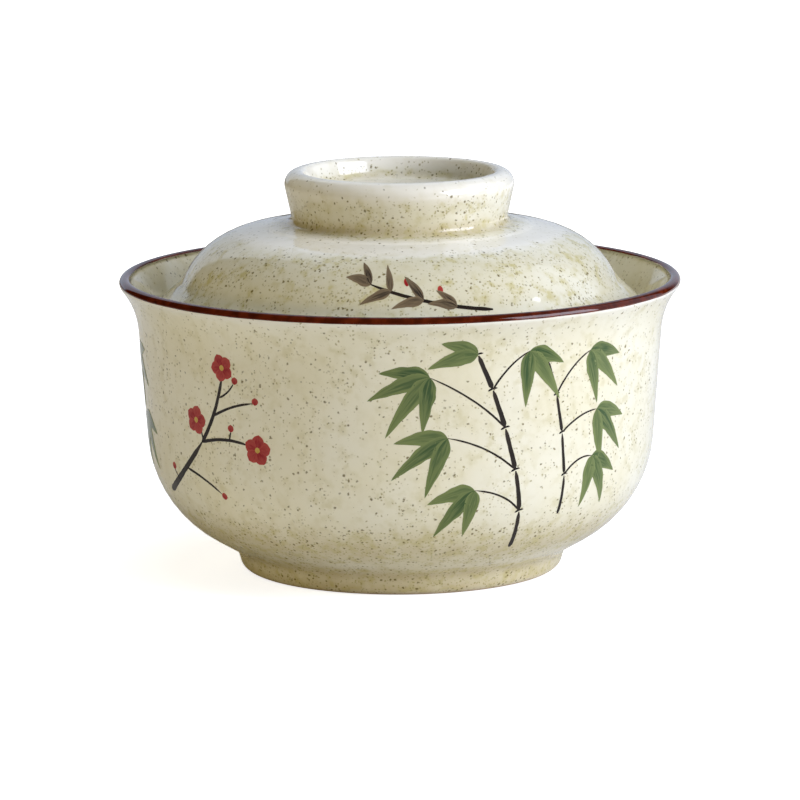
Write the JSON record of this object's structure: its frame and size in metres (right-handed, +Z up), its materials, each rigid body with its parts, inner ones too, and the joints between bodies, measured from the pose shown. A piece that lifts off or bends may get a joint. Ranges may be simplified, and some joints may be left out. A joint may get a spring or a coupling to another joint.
{
  "type": "lidded donburi bowl",
  "caption": "Footed stoneware donburi bowl with a flared, brown-glazed lip and a domed lid that drops into the mouth and lifts off by its ring grip.",
  "frame": {"origin": "centre of the foot ring, on the plane that the bowl stands on", "axes": "+Z up along the axis that every piece is turned about; the painted front of the bowl faces -Y"},
  "size_m": [0.158, 0.158, 0.1129],
  "materials": {
    "speckled_cream_glaze": "glossy cream glaze with fine iron specks",
    "iron_brown_glaze": "glossy iron-brown glaze"
  },
  "bodies": {
    "bowl": {"bowl": "speckled_cream_glaze", "lip_glaze": "iron_brown_glaze"},
    "lid": {"lid": "speckled_cream_glaze"}
  },
  "joints": [
    {"name": "lid_lift", "type": "slide", "parent": "bowl", "child": "lid", "axis": [0, 0, 1], "range_m": [0, 0.12]}
  ]
}
